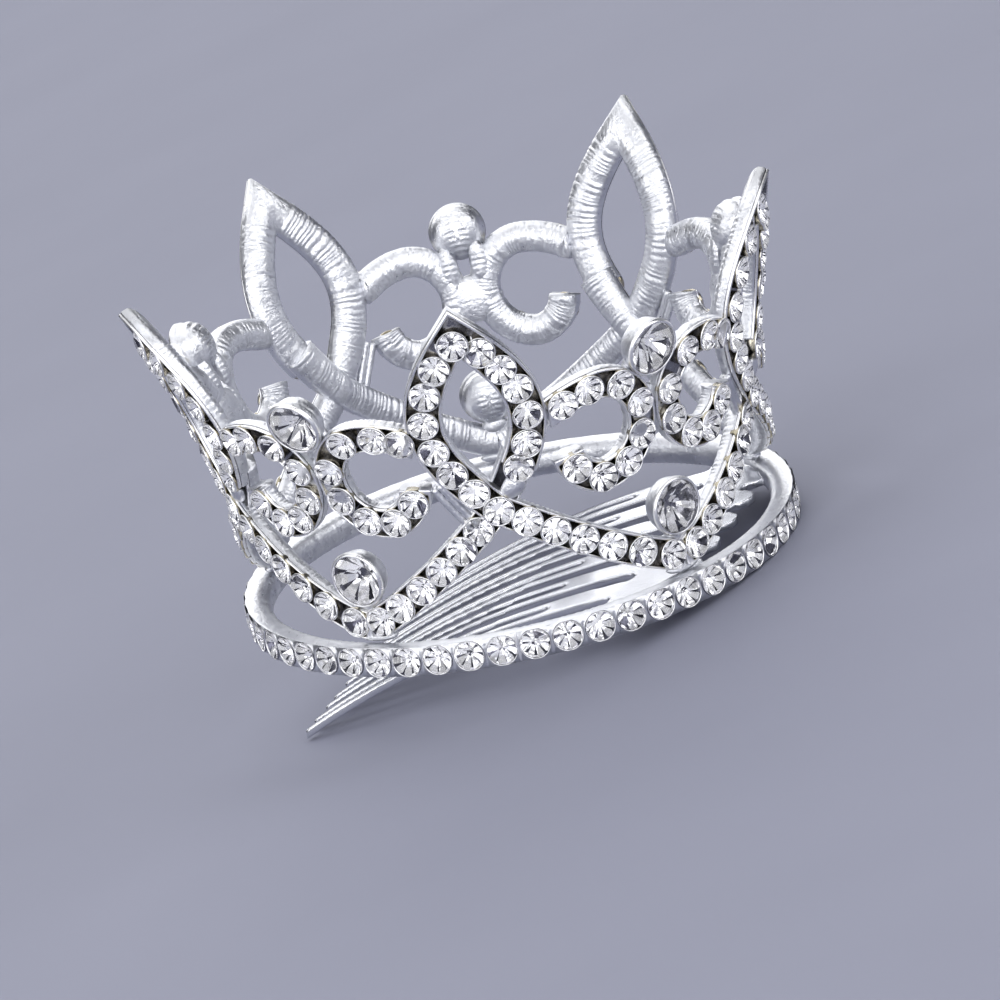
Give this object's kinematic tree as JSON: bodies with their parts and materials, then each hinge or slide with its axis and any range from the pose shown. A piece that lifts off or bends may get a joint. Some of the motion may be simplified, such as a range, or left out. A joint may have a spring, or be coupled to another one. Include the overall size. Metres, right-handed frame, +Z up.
{
  "type": "crown tiara",
  "caption": "Small open crown of pointed leaves and scrolls set with clear stones, on a round ring with a bent hair comb soldered across it",
  "frame": {"origin": "on the surface the crown rests on, at the middle of its footprint's bounding box", "axes": "+Z up; the comb's teeth point to +Y and the leaf over the comb's spine stands on the -Y side, with the crown leaning back 12 degrees as it rests by itself"},
  "size_m": [0.0512, 0.0544, 0.0386],
  "materials": {
    "silver_plate": "bright silver plate on cast metal",
    "comb_steel": "polished steel",
    "clear_stone": "clear faceted glass with a mirrored back"
  },
  "bodies": {
    "root": {"base_ring": "silver_plate", "comb": "comb_steel", "leaf_1": "silver_plate", "leaf_2": "silver_plate", "leaf_3": "silver_plate", "leaf_4": "silver_plate", "leaf_5": "silver_plate", "scroll_pair_1": "silver_plate", "scroll_pair_2": "silver_plate", "scroll_pair_3": "silver_plate", "scroll_pair_4": "silver_plate", "scroll_pair_5": "silver_plate", "lower_cup_1": "silver_plate", "lower_cup_2": "silver_plate", "lower_cup_3": "silver_plate", "lower_cup_4": "silver_plate", "lower_cup_5": "silver_plate", "upper_stone_1": "clear_stone", "upper_stone_2": "clear_stone", "upper_stone_3": "clear_stone", "upper_stone_4": "clear_stone", "upper_stone_5": "clear_stone", "lower_stone_1": "clear_stone", "lower_stone_2": "clear_stone", "lower_stone_3": "clear_stone", "lower_stone_4": "clear_stone", "lower_stone_5": "clear_stone"}
  },
  "joints": []
}
